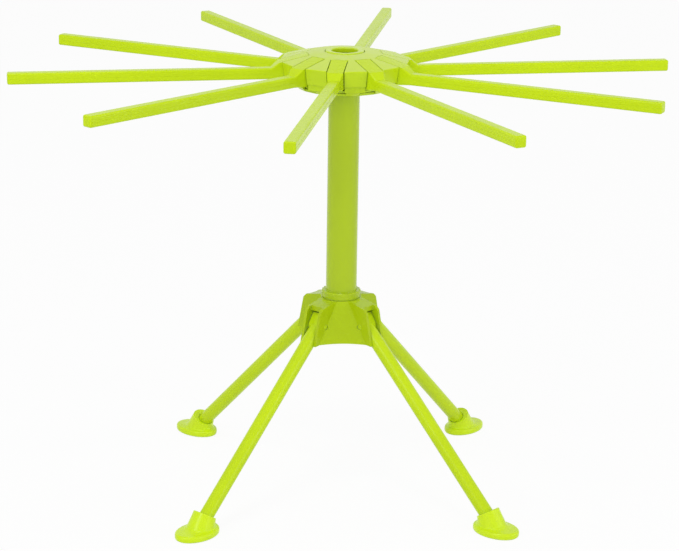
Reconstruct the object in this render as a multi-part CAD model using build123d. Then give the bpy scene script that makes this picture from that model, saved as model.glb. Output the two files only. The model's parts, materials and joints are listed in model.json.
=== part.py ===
from build123d import *
import os
from math import atan2, cos, degrees, hypot, radians, sin, sqrt, tan

# Tabletop drying rack with ten fold-down arms and four fold-in legs.
# The origin is on the floor under the column, +Z is up, and all lengths are in millimetres.

# Counts, angles and shares
arm_count = 10
leg_count = 4
arm_phase = 6.32
leg_phase = 45
arm_fold = 84
full_turn = 360
square_corner = 90
heel_neck_share = 0.4
boss_root_length_share = 0.7
boss_root_width_share = 0.8
boss_root_shift_share = 0.09
cup_top_share = 0.5

# Overall layout
arm_level = 290
arm_reach = 222.3
foot_circle = 142.5
sole_circle = 139.5
leg_apex_height = 140.9

# Clearances shared by several pieces, and the overrun of every cut
running_gap = 0.05
slide_gap = 0.08
seat_gap = 0.02
body_gap = 0.35
stop_gap = 0.3
cut_overrun = 20

# Column tube
tube_radius = 10.5
tube_wall = 1.7

# Arm bar, root block and heel
arm_width = 7.5
arm_height = 7.5
arm_edge = 1.3
arm_tip_edge = 1.2
root_width = 10.6
root_edge = 0.8
shoulder_length = 5
heel_width = 7
heel_thickness = 2.6
heel_root_thickness = 6
crank_length = 7
nose_radius = 1.8

# Head
head_flat_radius = 42.3
head_taper = 1.4
head_edge = 0.7
rim_height = 10.5
crown_thickness = 5.2
crown_wall = 2.4
crown_drop = 1.1
dome_drop = 4.3
pocket_inset = 3
slot_gap = 0.6
slot_inner_radius = 24.5

# Hinge pins of the arms
arm_pin_radius = 1.5
arm_pin_inset = 6.3
arm_pin_end_gap = 3

# Carrier that works the heels, and the ring on top of it
groove_play = 0.3
nose_cover = 0.1
flange_wall = 1.4
flange_gap = 0.8
core_wall = 2
core_gap = 0.5
sleeve_wall = 2.4
ring_height = 3.6
ring_proud = 0.7
ring_gap = 0.5
ring_lap = 3
ring_lap_wall = 1
ring_edge = 1.1

# Base of the head, with its neck
base_wall = 1.6
base_edge = 2.2
base_ring_wall = 2
lobe_wall = 4
lobe_inset = 1
neck_height = 3.2
neck_wall = 2.2
neck_taper = 1.8

# Screws of the head
head_screw_count = 5
head_screw_radius = 1.3
head_screw_length = 8
head_screw_inset = 5.7
head_screw_recess = 2
screw_head_radius = 2.4
screw_head_height = 1.6
screw_drive_width = 0.7
screw_drive_depth = 0.8

# Lower hub and its cover
hub_height = 28
hub_top_drop = 6.9
hub_top_half = 13.6
hub_bottom_half = 26
hub_corner = 8
hub_shell = 2.2
hub_post_wall = 2.8
fork_wall = 2
fork_reach = 33.5
fork_top_reach = 28.5
fork_drop = 2.5
fork_edge = 2.5
fork_roof_reach = 24.5
arch_rise = 1.8
arch_half = 22
socket_depth = 22
cover_wall = 2
cover_recess = 2.2
cover_gap = 0.2

# Ribbed collar over the lower hub
collar_height = 5
collar_wall = 2.4
collar_edge = 0.5
collar_rib_count = 24
collar_rib_radius = 0.55
collar_rib_height = 1.6

# Plug and screw at the foot of the column
plug_length = 14
hub_screw_radius = 2
hub_screw_length = 14
hub_screw_head_radius = 4
hub_screw_head_height = 2.2

# Legs and their pins
leg_radius = 4.8
leg_eye_width = 9.2
leg_slot_gap = 0.4
leg_stop_gap = 0.2
leg_stop_height = 8.5
leg_pin_radius = 1.75
leg_pin_place = 23
leg_pin_recess = 0.2
leg_end_rise = 10

# Feet
foot_half_length = 17
foot_half_width = 11.9
sole_height = 4.6
sole_edge = 1.7
cup_depth = 1.6
cup_rim = 3.2
boss_radius = 7.7
boss_lean = 7.3
boss_height = 12.8
boss_tilt = 31
boss_edge = 0.8

# Places that follow from the sizes above
arm_step = full_turn / arm_count
leg_step = full_turn / leg_count
tube_bore = tube_radius - tube_wall
slot_half = root_width / 2 + slot_gap
head_corner_radius = head_flat_radius / cos(radians(arm_step / 2))
pin_place = head_flat_radius - arm_pin_inset
half_step = radians(arm_step / 2)
pin_reach = pin_place * tan(half_step) - arm_pin_end_gap / cos(half_step)
bar_floor = arm_level - arm_height / 2
nose_place = pin_place - crank_length * cos(radians(arm_fold / 2))
nose_drop = crank_length * sin(radians(arm_fold / 2))
nose_level = arm_level - nose_drop
carrier_travel = nose_drop * 2
groove_top = nose_level + nose_radius + groove_play
groove_floor = nose_level - nose_radius - groove_play
flange_radius = nose_place + nose_cover
flange_top = groove_top + flange_wall
retainer_floor = groove_floor - flange_wall
core_radius = pin_place - crank_length - nose_radius - core_gap
cavity_radius = flange_radius + flange_gap
crown_floor = flange_top + carrier_travel + stop_gap
crown_top = crown_floor + crown_thickness
slot_end_top = crown_top - crown_drop
rim_top = slot_end_top - dome_drop
rim_floor = rim_top - rim_height
dome_slope = dome_drop / (head_flat_radius - slot_inner_radius)
base_floor_top = retainer_floor - stop_gap
base_bottom = base_floor_top - base_wall
lobe_floor = rim_floor - lobe_wall
screw_seat = lobe_floor + head_screw_recess
sleeve_bore = tube_radius + slide_gap
sleeve_radius = sleeve_bore + sleeve_wall
ring_floor = crown_top + ring_proud - ring_height
tube_top = ring_floor - stop_gap
leg_slope = degrees(atan2(leg_apex_height, foot_circle))
leg_pin_level = leg_apex_height * (1 - leg_pin_place / foot_circle)
leg_run = hypot(foot_circle - leg_pin_place, leg_pin_level)
leg_slot_half = leg_eye_width / 2 + leg_slot_gap
fork_half = leg_slot_half + fork_wall
fork_inner_radius = leg_pin_place - leg_radius - leg_slot_gap
heel_face = fork_inner_radius + leg_stop_gap
fork_roof = leg_pin_level + hypot(leg_pin_place - heel_face, leg_stop_height) + stop_gap
hub_top = leg_apex_height - hub_top_drop
hub_bottom = hub_top - hub_height
hub_floor = hub_top - socket_depth
cover_bottom = hub_bottom + cover_recess
cover_top = cover_bottom + cover_wall
cover_rise_share = (cover_top - hub_bottom) / hub_height
arch_radius = (arch_half**2 + arch_rise**2) / (arch_rise * 2)
cover_half = hub_bottom_half - (hub_bottom_half - hub_top_half) * cover_rise_share - hub_shell


def turned(shape, angle):
    """The shape turned about the column's axis."""
    return Rotation(0, 0, angle) * shape


def rod(radius, low, high):
    """An upright round rod from one height to another."""
    return Pos(0, 0, low) * Cylinder(radius, high - low, align=(Align.CENTER, Align.CENTER, Align.MIN))


def tube(outer, inner, low, high):
    """An upright round tube from one height to another."""
    return rod(outer, low, high) - rod(inner, low - cut_overrun, high + cut_overrun)


def block(low, high):
    """A box from its lowest corner to its highest."""
    size = [top - bottom for bottom, top in zip(low, high)]
    middle = [(top + bottom) / 2 for bottom, top in zip(low, high)]
    return Pos(*middle) * Box(*size)


def side_plate(points, half_width):
    """An outline in radius and height, as thick as twice half_width across the radius."""
    outline = make_face(Plane.XZ * Polyline(*points, close=True))
    return extrude(outline, amount=half_width, both=True)


def side_disc(radius, place, level, half_width):
    """A round disc that faces sideways, as a hinge eye does."""
    return Pos(place, 0, level) * Rotation(square_corner, 0, 0) * Cylinder(radius, half_width * 2)


def round_square(half, corner, level):
    """A level square with rounded corners, which point along the legs."""
    return Plane.XY.offset(level) * Rot(0, 0, leg_step / 2) * RectangleRounded(half * 2, half * 2, corner)


def ten_sided(flat_radius, level):
    """A level ten-sided face whose corners point along the arms."""
    corner = flat_radius / cos(radians(arm_step / 2))
    angles = [radians(arm_step * index) for index in range(arm_count)]
    return Plane.XY.offset(level) * make_face(Polyline(*[(corner * cos(a), corner * sin(a)) for a in angles], close=True))


def dome(floor_level):
    """Everything under the head's shallow top, which falls a little as far as the slots and faster beyond."""
    edge_radius = head_corner_radius + shoulder_length
    outline = Polyline(
        (0, floor_level),
        (0, crown_top),
        (sleeve_radius + ring_gap, crown_top),
        (slot_inner_radius, slot_end_top),
        (edge_radius, slot_end_top - dome_slope * (edge_radius - slot_inner_radius)),
        (edge_radius, floor_level),
        close=True,
    )
    return revolve(make_face(Plane.XZ * outline), Axis.Z)


def head_screw_places():
    """Where the head's screws stand, one in every other block between the arms."""
    reach = head_flat_radius - head_screw_inset
    step = full_turn / head_screw_count
    return [Rot(0, 0, arm_step / 2 + step * index) * Pos(reach, 0, 0) for index in range(head_screw_count)]


def head_body():
    """Domed ten-sided head with ten slots, a round cavity for the carrier and saddles for the pins."""
    top_flat_radius = head_flat_radius + head_taper * (crown_top - rim_top) / rim_height
    sides = loft([ten_sided(head_flat_radius - head_taper, rim_floor), ten_sided(top_flat_radius, crown_top)], ruled=True)
    body = sides & dome(rim_floor)
    edges = body.edges().filter_by(lambda edge: abs(edge.center().Z - rim_top) < dome_drop / 2)
    body = fillet(edges.filter_by(lambda edge: abs(edge.tangent_at(0).Z) < dome_slope), head_edge)
    body -= rod(cavity_radius, rim_floor - cut_overrun, crown_floor)
    body -= rod(slot_inner_radius - pocket_inset, crown_floor - cut_overrun, slot_end_top - crown_wall)
    body -= rod(sleeve_radius + ring_gap, crown_floor - cut_overrun, crown_top + cut_overrun)
    saddle_half = arm_pin_radius + seat_gap
    saddle_reach = pin_reach + seat_gap
    slot = block(
        (slot_inner_radius, -slot_half, rim_floor - cut_overrun),
        (head_corner_radius + cut_overrun, slot_half, crown_top + cut_overrun),
    )
    saddle = side_disc(saddle_half, pin_place, arm_level, saddle_reach) + block(
        (pin_place - saddle_half, -saddle_reach, rim_floor - cut_overrun),
        (pin_place + saddle_half, saddle_reach, arm_level),
    )
    for index in range(arm_count):
        body -= turned(slot, arm_step * index)
        body -= turned(saddle, arm_step * index)
    pilot = rod(head_screw_radius + seat_gap, screw_seat, screw_seat + head_screw_length + stop_gap)
    return body - [place * pilot for place in head_screw_places()]


def head_base():
    """Plate with the neck for the column, wall segments, screw lobes and pin keepers."""
    bore = tube_radius + seat_gap
    ring_outer = cavity_radius + base_ring_wall
    neck_floor = base_bottom - neck_height
    neck_outer = tube_radius + neck_wall
    outline = Polyline(
        (bore, base_floor_top),
        (cavity_radius, base_floor_top),
        (cavity_radius, rim_floor),
        (ring_outer, rim_floor),
        (ring_outer, base_bottom + base_edge),
        (ring_outer - base_edge, base_bottom),
        (neck_outer + neck_taper, base_bottom),
        (neck_outer, neck_floor),
        (bore, neck_floor),
        close=True,
    )
    body = revolve(make_face(Plane.XZ * outline), Axis.Z)
    lobes = extrude(ten_sided(head_flat_radius - head_taper - lobe_inset, lobe_floor), amount=lobe_wall)
    body += lobes - rod(cavity_radius, lobe_floor - cut_overrun, rim_floor + cut_overrun)
    wall_chord = sqrt(cavity_radius**2 - slot_half**2)
    slot = block(
        (wall_chord, -slot_half, base_bottom - cut_overrun),
        (head_corner_radius + cut_overrun, slot_half, rim_floor + cut_overrun),
    )
    body -= [turned(slot, arm_step * index) for index in range(arm_count)]
    hole = rod(head_screw_radius + slide_gap, lobe_floor - cut_overrun, rim_floor + cut_overrun)
    hole += rod(screw_head_radius + slide_gap, lobe_floor - cut_overrun, screw_seat)
    body -= [place * hole for place in head_screw_places()]
    keeper_half = arm_pin_radius - slide_gap
    keeper_top = arm_level - arm_pin_radius - seat_gap
    keepers = []
    for side in (-1, 1):
        near = side * (slot_half + slide_gap)
        far = side * pin_reach
        keepers.append(
            block(
                (pin_place - keeper_half, min(near, far), lobe_floor),
                (pin_place + keeper_half, max(near, far), keeper_top),
            )
        )
    return body + [turned(keeper, arm_step * index) for index in range(arm_count) for keeper in keepers]


def pan_screw(shank_radius, shank_length, head_radius, head_height):
    """Cross-recessed pan-head screw with its head below the origin and its shank above."""
    head = rod(head_radius, -head_height, 0)
    head = fillet(head.edges().group_by(Axis.Z)[0], head_height / 2)
    screw = head + rod(shank_radius, 0, shank_length)
    reach = head_radius / 2
    half = screw_drive_width / 2
    for half_x, half_y in ((reach, half), (half, reach)):
        screw -= block((-half_x, -half_y, -head_height), (half_x, half_y, screw_drive_depth - head_height))
    return screw


def head_screws():
    """The screws that hold the base to the head."""
    screw = pan_screw(head_screw_radius, head_screw_length, screw_head_radius, screw_head_height)
    return [turned(place * Pos(0, 0, screw_seat) * screw, arm_phase) for place in head_screw_places()]


def arm():
    """Square bar with a wide root that lies flush in the head, a pin eye and a heel with a round nose."""
    section = Pos(0, arm_level) * RectangleRounded(arm_width, arm_height, arm_edge)
    bar_start = head_corner_radius + shoulder_length
    bar = extrude(Plane.YZ.offset(bar_start) * section, amount=arm_reach - bar_start)
    bar = fillet(bar.faces().sort_by(Axis.X)[-1].edges(), arm_tip_edge)
    root_top = slot_end_top - dome_slope * (head_corner_radius - slot_inner_radius)
    root_middle = (root_top + bar_floor) / 2
    root_section = Pos(0, root_middle) * RectangleRounded(root_width, root_top - bar_floor, root_edge)
    shoulder = loft([Plane.YZ.offset(head_corner_radius) * root_section, Plane.YZ.offset(bar_start) * section])
    root = side_plate(
        [
            (slot_inner_radius + body_gap, arm_level),
            (slot_inner_radius + body_gap, crown_top + cut_overrun),
            (head_corner_radius, crown_top + cut_overrun),
            (head_corner_radius, bar_floor),
            (pin_place, bar_floor),
            (pin_place, arm_level),
        ],
        root_width / 2,
    )
    root = root & dome(bar_floor - cut_overrun)
    eye = side_disc(arm_height / 2, pin_place, arm_level, root_width / 2)
    along_x = cos(radians(arm_fold / 2))
    along_z = sin(radians(arm_fold / 2))
    neck = crank_length * heel_neck_share
    upper = []
    lower = []
    for run, half in ((0, heel_thickness / 2), (neck, heel_thickness / 2), (crank_length, heel_root_thickness / 2)):
        upper.append((nose_place + run * along_x - half * along_z, nose_level + run * along_z + half * along_x))
        lower.append((nose_place + run * along_x + half * along_z, nose_level + run * along_z - half * along_x))
    heel = side_plate(upper + lower[::-1], heel_width / 2)
    nose = side_disc(nose_radius, nose_place, nose_level, heel_width / 2)
    bore = side_disc(arm_pin_radius + running_gap, pin_place, arm_level, root_width)
    return bar + shoulder + root + eye + heel + nose - bore


def arm_pin():
    """Round hinge pin across an arm slot."""
    pin = side_disc(arm_pin_radius, pin_place, arm_level, pin_reach)
    return chamfer(pin.edges().filter_by(GeomType.CIRCLE), arm_pin_radius / 5)


def lift_ring():
    """Finger ring with a skirt that laps over the carrier's sleeve."""
    upper = tube(sleeve_radius, tube_bore, ring_floor, ring_floor + ring_height)
    upper = fillet(upper.edges().group_by(Axis.Z)[-1], ring_edge)
    skirt_bore = sleeve_radius - ring_lap_wall + seat_gap
    return upper + tube(sleeve_radius, skirt_bore, ring_floor - ring_lap, ring_floor)


def lift_carrier():
    """Sleeve that slides on the column, with the upper flange and the core of the groove."""
    lap_floor = ring_floor - ring_lap
    body = tube(sleeve_radius, sleeve_bore, retainer_floor, lap_floor)
    body += tube(sleeve_radius - ring_lap_wall, sleeve_bore, lap_floor, ring_floor)
    body += tube(flange_radius, (sleeve_bore + sleeve_radius) / 2, groove_top, flange_top)
    return body + tube(core_radius, core_radius - core_wall, groove_floor, groove_top)


def carrier_retainer():
    """Flat ring that closes the groove from below."""
    return tube(flange_radius, core_radius - core_wall, retainer_floor, groove_floor)


def column_tube():
    """Round tube from the lower hub's floor up into the carrier."""
    return tube(tube_radius, tube_bore, hub_floor, tube_top)


def column_plug():
    """Plug in the tube's lower end, with the hole for the hub screw."""
    pilot = rod(hub_screw_radius + seat_gap, hub_floor - cut_overrun, cover_bottom + hub_screw_length + stop_gap)
    return rod(tube_bore - seat_gap, hub_floor, hub_floor + plug_length) - pilot


def column_collar():
    """Collar on the lower hub with fine ribs round its upper edge."""
    outer = tube_radius + collar_wall
    top = hub_top + collar_height
    body = rod(outer, hub_top, top)
    body = chamfer(body.edges().filter_by(GeomType.CIRCLE), collar_edge)
    rib = Pos(outer - collar_rib_radius / 2, 0, 0) * rod(collar_rib_radius, top - collar_rib_height, top)
    body += [turned(rib, full_turn / collar_rib_count * index) for index in range(collar_rib_count)]
    return body - rod(tube_radius + seat_gap, hub_top - cut_overrun, top + cut_overrun)


def fork_room(roof):
    """The room a leg needs in the lower hub, under a roof near the column and open further out."""
    low = hub_bottom - cut_overrun
    high = hub_top + cut_overrun
    far = fork_reach + cut_overrun
    outline = [
        (fork_inner_radius, low),
        (fork_inner_radius, roof),
        (fork_roof_reach, roof),
        (fork_roof_reach, high),
        (far, high),
        (far, low),
    ]
    return side_plate(outline, leg_slot_half)


def leg_hub():
    """Tapered square skirt, arched below, with four forks for the legs and a socket for the column."""
    outer = loft([round_square(hub_bottom_half, hub_corner, hub_bottom), round_square(hub_top_half, hub_corner, hub_top)])
    inner_corner = hub_corner - hub_shell
    inner_bottom = round_square(hub_bottom_half - hub_shell, inner_corner, hub_bottom)
    inner_top = round_square(hub_top_half - hub_shell, inner_corner, hub_top - hub_shell)
    body = outer - loft([inner_bottom, inner_top])
    body += rod(tube_radius + hub_post_wall, hub_bottom, hub_top)
    fork_top = hub_top - fork_drop
    fork = side_plate(
        [
            (0, hub_bottom),
            (fork_reach, hub_bottom),
            (fork_top_reach, fork_top - fork_edge),
            (fork_top_reach - fork_edge, fork_top),
            (hub_top_half, hub_top),
            (0, hub_top),
        ],
        fork_half,
    )
    body += [turned(fork, leg_step * index) for index in range(leg_count)]
    recess_floor = hub_bottom - cut_overrun
    body -= extrude(round_square(cover_half, inner_corner, recess_floor), amount=cover_top - recess_floor)
    arch = Rotation(square_corner, 0, 0) * Cylinder(arch_radius, (fork_reach + cut_overrun) * 2)
    arch = Pos(0, 0, hub_bottom + arch_rise - arch_radius) * arch
    body -= [turned(arch, leg_step / 2), turned(arch, leg_step / 2 + square_corner)]
    pin_hole = side_disc(leg_pin_radius + seat_gap, leg_pin_place, leg_pin_level, fork_half + fork_wall)
    for index in range(leg_count):
        body -= turned(fork_room(fork_roof), leg_step * index)
        body -= turned(pin_hole, leg_step * index)
    body -= rod(tube_radius + seat_gap, hub_floor, hub_top + cut_overrun)
    return body - rod(hub_screw_radius + slide_gap, hub_bottom - cut_overrun, hub_floor + cut_overrun)


def hub_cover():
    """Plate that closes the lower hub from below, cut away where the legs hang when folded."""
    outline = round_square(cover_half - cover_gap, hub_corner - hub_shell, cover_bottom)
    plate = extrude(outline, amount=cover_wall)
    for index in range(leg_count):
        plate -= turned(fork_room(fork_roof), leg_step * index)
    return plate - rod(hub_screw_radius + slide_gap, cover_bottom - cut_overrun, cover_top + cut_overrun)


def hub_screw():
    """Pan-head screw through the cover and the hub's floor into the plug."""
    screw = pan_screw(hub_screw_radius, hub_screw_length, hub_screw_head_radius, hub_screw_head_height)
    return Pos(0, 0, cover_bottom) * screw


def along_leg(shape):
    """A shape made along +X from the pin, laid along the open leg."""
    return Pos(leg_pin_place, 0, leg_pin_level) * Rotation(0, leg_slope, 0) * shape


def leg():
    """Round rod with a hinge eye, whose squared heel stops the leg when it is open."""
    shaft = along_leg(Rotation(0, square_corner, 0) * rod(leg_radius, 0, leg_run - leg_end_rise))
    eye = side_disc(leg_radius, leg_pin_place, leg_pin_level, leg_eye_width / 2)
    heel_top = leg_pin_level + leg_stop_height
    heel = side_plate(
        [
            (heel_face, leg_pin_level),
            (heel_face, heel_top),
            (leg_pin_place, heel_top),
            (
                leg_pin_place + leg_radius * sin(radians(leg_slope)),
                leg_pin_level + leg_radius * cos(radians(leg_slope)),
            ),
            (leg_pin_place, leg_pin_level),
        ],
        leg_eye_width / 2,
    )
    bore = side_disc(leg_pin_radius + running_gap, leg_pin_place, leg_pin_level, leg_eye_width)
    return shaft + eye + heel - bore


def leg_pin():
    """Round hinge pin across a fork, just short of the fork's outer faces."""
    pin = side_disc(leg_pin_radius, leg_pin_place, leg_pin_level, fork_half - leg_pin_recess)
    return chamfer(pin.edges().filter_by(GeomType.CIRCLE), leg_pin_radius / 5)


def foot():
    """Soft oval foot: a rounded sole hollowed underneath, and a leaning boss with the leg's socket."""
    sole = extrude(Ellipse(foot_half_length, foot_half_width), amount=sole_height)
    sole = fillet(sole.edges(), sole_edge)
    cup_length = foot_half_length - cup_rim
    cup_width = foot_half_width - cup_rim
    cup_top = Plane.XY.offset(cup_depth) * Ellipse(cup_length * cup_top_share, cup_width * cup_top_share)
    sole -= loft([Ellipse(cup_length, cup_width), cup_top])
    boss_root = Ellipse(foot_half_length * boss_root_length_share, foot_half_width * boss_root_width_share)
    boss_shift = foot_half_length * boss_root_shift_share
    boss_start = Plane.XY.offset(sole_height / 2) * Pos(-boss_shift, 0) * boss_root
    boss = loft([boss_start, Pos(-boss_lean, 0, boss_height) * Rot(0, -boss_tilt, 0) * Circle(boss_radius)])
    boss = fillet(boss.faces().sort_by(Axis.Z)[-1].edges(), boss_edge)
    standing = Pos(sole_circle, 0, 0) * (sole + boss)
    socket = rod(leg_radius + running_gap, 0, leg_run - leg_end_rise)
    return standing - along_leg(Rotation(0, square_corner, 0) * socket)


def write(name, shape):
    """One file for one node."""
    pieces = shape if isinstance(shape, list) else [shape]
    solids = [solid for piece in pieces for solid in piece.solids()]
    export_step(Compound(children=solids) if len(solids) > 1 else solids[0], f"parts/{name}.step")


os.makedirs("parts", exist_ok=True)

write("head_body", turned(head_body(), arm_phase))
write("head_base", turned(head_base(), arm_phase))
write("head_screws", head_screws())

one_arm = arm()
one_pin = arm_pin()
for index in range(arm_count):
    angle = arm_phase + arm_step * index
    write(f"arm_{index + 1:02d}", turned(one_arm, angle))
    write(f"arm_pin_{index + 1:02d}", turned(one_pin, angle))

write("lift_ring", lift_ring())
write("lift_carrier", lift_carrier())
write("carrier_retainer", carrier_retainer())
write("column_tube", column_tube())
write("column_plug", column_plug())
write("column_collar", column_collar())
write("leg_hub", turned(leg_hub(), leg_phase))
write("hub_cover", turned(hub_cover(), leg_phase))
write("hub_screw", hub_screw())

for name, make in {"leg": leg, "leg_pin": leg_pin, "foot": foot}.items():
    piece = make()
    for index in range(leg_count):
        write(f"{name}_{index + 1}", turned(piece, leg_phase + leg_step * index))

print("arm pins at radius", round(pin_place, 4), "height", arm_level)
print("leg pins at radius", leg_pin_place, "height", round(leg_pin_level, 4))
print("leg fold", round(square_corner - leg_slope, 4), "degrees, carrier travel", round(carrier_travel, 4))
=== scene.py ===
"""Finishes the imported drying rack.

It gets moulded lime plastic, softened edges, full feet and the fine marks of moulding.
"""

import json
from collections import namedtuple
from math import atan2, cos, pi, radians, sin, sqrt

import bmesh
import bpy
from bpy.props import FloatProperty, FloatVectorProperty, IntProperty, PointerProperty
from mathutils import Matrix, Vector


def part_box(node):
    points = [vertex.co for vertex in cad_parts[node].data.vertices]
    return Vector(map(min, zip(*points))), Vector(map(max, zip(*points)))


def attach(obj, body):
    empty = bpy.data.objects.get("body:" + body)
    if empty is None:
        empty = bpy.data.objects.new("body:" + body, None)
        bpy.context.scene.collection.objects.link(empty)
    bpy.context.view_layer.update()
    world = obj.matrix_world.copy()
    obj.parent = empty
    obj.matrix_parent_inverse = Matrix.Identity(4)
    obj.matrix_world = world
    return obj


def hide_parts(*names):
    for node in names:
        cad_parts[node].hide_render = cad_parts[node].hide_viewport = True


bl_info = {
    "name": "Drying Rack Finish",
    "version": (1, 1, 0),
    "blender": (4, 5, 0),
    "location": "View3D > Sidebar > Rack",
    "description": "Moulded plastic, softened edges and moulding marks for a packed drying rack",
    "category": "Object",
}

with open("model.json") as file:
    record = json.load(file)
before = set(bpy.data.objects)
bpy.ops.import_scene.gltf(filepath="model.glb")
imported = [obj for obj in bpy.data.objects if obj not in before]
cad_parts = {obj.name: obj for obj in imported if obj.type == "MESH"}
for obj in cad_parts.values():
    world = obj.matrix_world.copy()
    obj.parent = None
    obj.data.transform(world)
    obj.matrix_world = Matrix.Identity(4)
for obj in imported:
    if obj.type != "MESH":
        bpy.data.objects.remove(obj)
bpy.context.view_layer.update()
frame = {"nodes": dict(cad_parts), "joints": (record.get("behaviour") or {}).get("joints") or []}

MM = 0.001
ARM_COUNT = 10
LEG_COUNT = 4
ARMS = [f"arm_{index + 1:02d}" for index in range(ARM_COUNT)]
LEGS = [f"leg_{index + 1}" for index in range(LEG_COUNT)]
JOINTS = {joint["name"]: joint for joint in frame["joints"]}
WELD = 0.001 * MM
FLAT_WITHIN = radians(0.4)
ROUNDED_FROM = radians(28)
SHARP_FROM = radians(38)
DISC_SIDES = 24

# Shares and sizes in the shared looks. A hair layer is its turn in radians and its stretch.
NOISE_MIDDLE = 0.5
STREAK_FINENESS = 5.0
CLOUD_SHARE = 0.7
STREAK_SHARE = 0.3
GLOSS_WANDER = 0.03
# The edge mask marks rubbed wear and a painted highlight along sharp edges
WEAR_AND_HIGHLIGHT_REACH = 0.5 * MM
WEAR_AND_HIGHLIGHT_SAMPLES = 4
HAIR_LAYERS = ((0.4, 9.0), (1.9, 13.0), (2.8, 7.0))
HAIR_WIDTH = 0.008
HAIR_PALENESS = 0.3
HAIR_DEPTH = 0.4
CORNER_REACH = 3 * MM
CORNER_SAMPLES = 8
DULL_STEEL = 0.72
FLOOR_LIFT = 1.02
FLOOR_WHITE = 0.93


def plain_colour(name, default, text):
    """A colour that a user can pick."""
    return FloatVectorProperty(
        name=name, description=text, subtype="COLOR", size=3, min=0, max=1, default=default
    )


def plain_number(name, default, text):
    """A number without a unit that a user can set."""
    return FloatProperty(name=name, description=text, default=default)


def count(name, default, low, high, text):
    """A whole number that a user can set."""
    return IntProperty(name=name, description=text, min=low, max=high, default=default)


def length(name, default, text):
    """A length in metres that a user can set."""
    return FloatProperty(
        name=name, description=text, unit="LENGTH", subtype="DISTANCE", precision=5, default=default
    )


def angle(name, degrees, text):
    """An angle that a user can set, given here in degrees."""
    return FloatProperty(name=name, description=text, subtype="ANGLE", default=radians(degrees))


def part_of(name, default, text):
    """A share of some other size."""
    return FloatProperty(name=name, description=text, subtype="FACTOR", min=0, max=1, default=default)


class RackColours(bpy.types.PropertyGroup):
    """Colours of the plastics, the steel and what gathers on them, with lime copies that paint shade on
    the column and hub and light on the feet, a paler lime for rubbed edges and their painted highlight,
    and a pale colour laid on the head's upward faces.
    """

    lime: plain_colour("Lime", (0.555, 0.735, 0.007), "Main colour of the moulded plastic")
    lime_deep: plain_colour("Deep lime", (0.46, 0.63, 0.004), "Colour of streaks of denser pigment")
    # Lime darkened as painted shade: the shade that falls under the head on the column, its collar and
    # the lower hub
    shaded_column_lime: plain_colour("Column lime", (0.41, 0.55, 0.003), "Colour of column and lower hub")
    # Lime lightened as painted light: the light that the floor throws up onto the feet
    lit_foot_lime: plain_colour("Foot lime", (0.63, 0.84, 0.009), "Colour of the softer feet")
    # Paler lime on sharp edges: rubbed wear, and a painted highlight along the edges
    rubbed_and_highlight: plain_colour("Rubbed edge", (0.68, 0.86, 0.05), "Colour of edges that hands have rubbed")
    dust: plain_colour("Dust", (0.62, 0.60, 0.42), "Fine dust in corners")
    # A pale colour laid in blotches on the head's upward faces, which makes them paler than its sides
    haze: plain_colour("Haze", (0.74, 0.76, 0.45), "Fine haze on the head's upper faces")
    steel: plain_colour("Steel", (0.56, 0.56, 0.57), "Zinc-plated screws and pins")
    floor: plain_colour("Floor", (0.88, 0.88, 0.88), "Plain pale floor")


class RackEdges(bpy.types.PropertyGroup):
    """How far each kind of edge is rounded over."""

    head: length("Head edges", 0.5 * MM, "Rounding of the head's blocks and slots")
    base: length("Base edges", 0.22 * MM, "Rounding of the base under the head")
    ring: length("Ring edges", 0.3 * MM, "Rounding of the finger ring")
    arm: length("Arm edges", 0.45 * MM, "Rounding of the arms' wide roots")
    hub: length("Lower hub edges", 0.6 * MM, "Rounding of the lower hub and its forks")
    cover: length("Cover edges", 0.25 * MM, "Rounding of the plate under the lower hub")
    collar: length("Collar edges", 0.12 * MM, "Rounding of the collar's ribs")
    column: length("Column edges", 0.3 * MM, "Rounding of the column's ends")
    leg: length("Leg edges", 0.4 * MM, "Rounding of the legs' squared heels")
    steps: count("Steps", 3, 1, 6, "Faces across each rounded edge")


class RackMarks(bpy.types.PropertyGroup):
    """Sizes and places of the marks that moulding leaves."""

    bar_width: length("Bar width", 7.5 * MM, "Width and height of an arm's square bar")
    bar_start: length("Bar start", 50.5 * MM, "Where the square bar starts, from the column's axis")
    bar_end: length("Bar end", 221.0 * MM, "Where the parting line of an arm ends")
    rod_radius: length("Rod radius", 4.8 * MM, "Radius of a leg's round rod")
    rod_start: length("Rod start", 15.0 * MM, "Where the parting line of a leg starts, from its pin")
    rod_end: length("Rod end", 16.0 * MM, "How far the parting line of a leg ends before the floor")
    seam_width: length("Seam width", 0.36 * MM, "Width of the parting line along arms and legs")
    seam_height: length("Seam height", 0.09 * MM, "How far a parting line stands proud")
    ejector_radius: length("Ejector radius", 1.6 * MM, "Radius of an ejector pin's mark")
    ejector_height: length("Ejector height", 0.1 * MM, "How far an ejector pin's mark stands proud")
    cover_ejector_reach: length("Cover ejector reach", 17.0 * MM, "From the axis to the cover's marks")
    gate_radius: length("Gate radius", 0.8 * MM, "Radius of the stub where the plastic went in")
    gate_height: length("Gate height", 0.3 * MM, "Height of that stub")


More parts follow.
